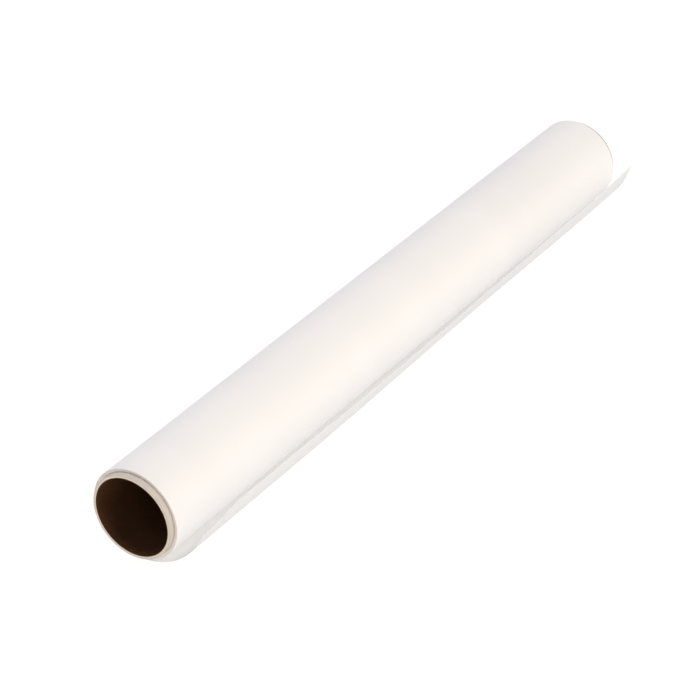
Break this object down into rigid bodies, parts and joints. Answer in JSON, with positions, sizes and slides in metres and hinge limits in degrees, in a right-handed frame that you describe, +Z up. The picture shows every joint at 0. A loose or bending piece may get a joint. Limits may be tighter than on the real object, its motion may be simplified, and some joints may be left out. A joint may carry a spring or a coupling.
{
  "type": "roll of sign vinyl",
  "caption": "Roll of white self-adhesive sign vinyl on a paper core, with the loose outer lap curling away from the roll.",
  "frame": {"origin": "centre of the core's bore, halfway along the roll", "axes": "+Y along the roll's axis; +Z up, with the roll lying on its side; +X towards the side where the loose lap curls up"},
  "size_m": [0.1108, 0.774, 0.0893],
  "materials": {
    "vinyl": "smooth white calendered vinyl, semi-gloss",
    "liner": "coated release paper, satin",
    "core_board": "grey-brown core board, matt",
    "kraft_face": "brown kraft paper, matt",
    "tape": "double-sided paper tape, satin"
  },
  "bodies": {
    "roll": {"core_inner_ply": "kraft_face", "core_ply_2": "core_board", "core_ply_3": "core_board", "core_ply_4": "core_board", "core_ply_5": "core_board", "core_outer_ply": "kraft_face", "start_tape": "tape", "inner_turns_liner": "liner", "inner_turns_film": "vinyl", "outer_turn_liner": "liner", "outer_turn_film": "vinyl", "sprung_lap_liner": "liner", "sprung_lap_film": "vinyl"},
    "tail_panel_1": {"tail_liner_1": "liner", "tail_film_1": "vinyl"},
    "tail_panel_2": {"tail_liner_2": "liner", "tail_film_2": "vinyl"},
    "tail_panel_3": {"tail_liner_3": "liner", "tail_film_3": "vinyl"},
    "tail_panel_4": {"tail_liner_4": "liner", "tail_film_4": "vinyl"},
    "tail_panel_5": {"tail_liner_5": "liner", "tail_film_5": "vinyl"},
    "tail_panel_6": {"tail_liner_6": "liner", "tail_film_6": "vinyl"}
  },
  "joints": [
    {"name": "lap_uncurl", "type": "hinge", "parent": "roll", "child": "tail_panel_1", "pos_m": [0, 0, -0.04491], "axis": [0, -1, 0], "range_deg": [-5, 2.6], "stiffness_Nm_per_rad": 0.055},
    {"name": "lap_bend_2", "type": "hinge", "parent": "tail_panel_1", "child": "tail_panel_2", "pos_m": [0.01534, 0, -0.04314], "axis": [0, -1, 0], "range_deg": [-10, 5.2], "stiffness_Nm_per_rad": 0.055},
    {"name": "lap_bend_3", "type": "hinge", "parent": "tail_panel_2", "child": "tail_panel_3", "pos_m": [0.02988, 0, -0.03793], "axis": [0, -1, 0], "range_deg": [-10, 5.2], "stiffness_Nm_per_rad": 0.055},
    {"name": "lap_bend_4", "type": "hinge", "parent": "tail_panel_3", "child": "tail_panel_4", "pos_m": [0.04285, 0, -0.02954], "axis": [0, -1, 0], "range_deg": [-10, 5.2], "stiffness_Nm_per_rad": 0.055},
    {"name": "lap_bend_5", "type": "hinge", "parent": "tail_panel_4", "child": "tail_panel_5", "pos_m": [0.05357, 0, -0.01842], "axis": [0, -1, 0], "range_deg": [-10, 5.2], "stiffness_Nm_per_rad": 0.055},
    {"name": "lap_bend_6", "type": "hinge", "parent": "tail_panel_5", "child": "tail_panel_6", "pos_m": [0.06148, 0, -0.00515], "axis": [0, -1, 0], "range_deg": [-10, 5.2], "stiffness_Nm_per_rad": 0.055}
  ],
  "couplings": [
    {"joint": "lap_bend_2", "follows": "lap_uncurl", "ratio": 2},
    {"joint": "lap_bend_3", "follows": "lap_uncurl", "ratio": 2},
    {"joint": "lap_bend_4", "follows": "lap_uncurl", "ratio": 2},
    {"joint": "lap_bend_5", "follows": "lap_uncurl", "ratio": 2},
    {"joint": "lap_bend_6", "follows": "lap_uncurl", "ratio": 2}
  ]
}
